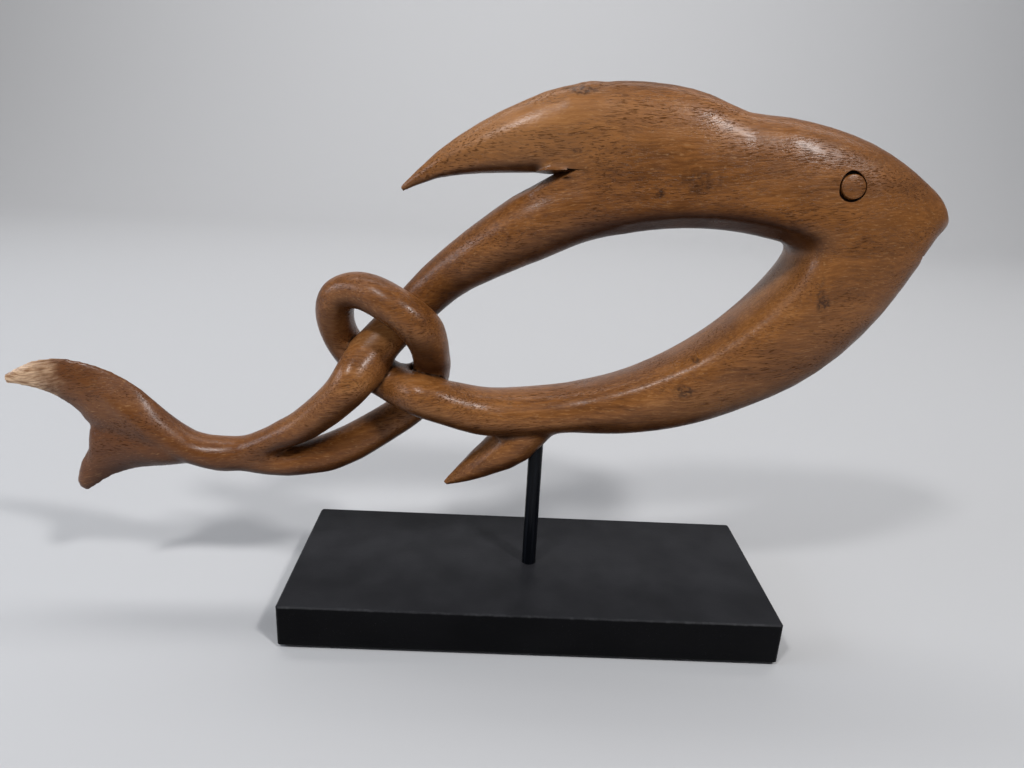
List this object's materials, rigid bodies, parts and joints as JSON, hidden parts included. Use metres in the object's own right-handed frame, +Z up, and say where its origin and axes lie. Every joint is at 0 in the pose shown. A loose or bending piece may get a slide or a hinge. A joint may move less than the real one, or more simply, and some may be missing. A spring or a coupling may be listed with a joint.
{
  "type": "fish figurine",
  "caption": "Carved wooden fish with its split body tied in a knot before the forked tail, standing on a thin black rod in a flat black base; it turns on the base and lifts off the rod.",
  "frame": {"origin": "centre of the resting face, under the felt", "axes": "+X towards the fish's snout, along the base's length; +Z up along the rod; the fish's right flank faces -Y"},
  "size_m": [0.3658, 0.08, 0.2177],
  "materials": {
    "carved_wood": "satin",
    "black_wood": "satin",
    "black_steel": "satin",
    "plain_steel": "satin",
    "felt": "matte"
  },
  "bodies": {
    "stand": {"base_block": "black_wood", "base_felt": "felt"},
    "post": {"support_rod": "black_steel", "fixing_screw": "plain_steel", "fixing_washer": "plain_steel"},
    "fish": {"fish_carving": "carved_wood", "eye_plug_right": "carved_wood", "eye_plug_left": "carved_wood"}
  },
  "joints": [
    {"name": "swivel", "type": "hinge", "parent": "stand", "child": "post", "pos_m": [0, 0, 0.0192], "axis": [0, 0, 1], "continuous": true},
    {"name": "lift_off", "type": "slide", "parent": "post", "child": "fish", "axis": [0, 0, 1], "range_m": [0, 0.035]}
  ]
}
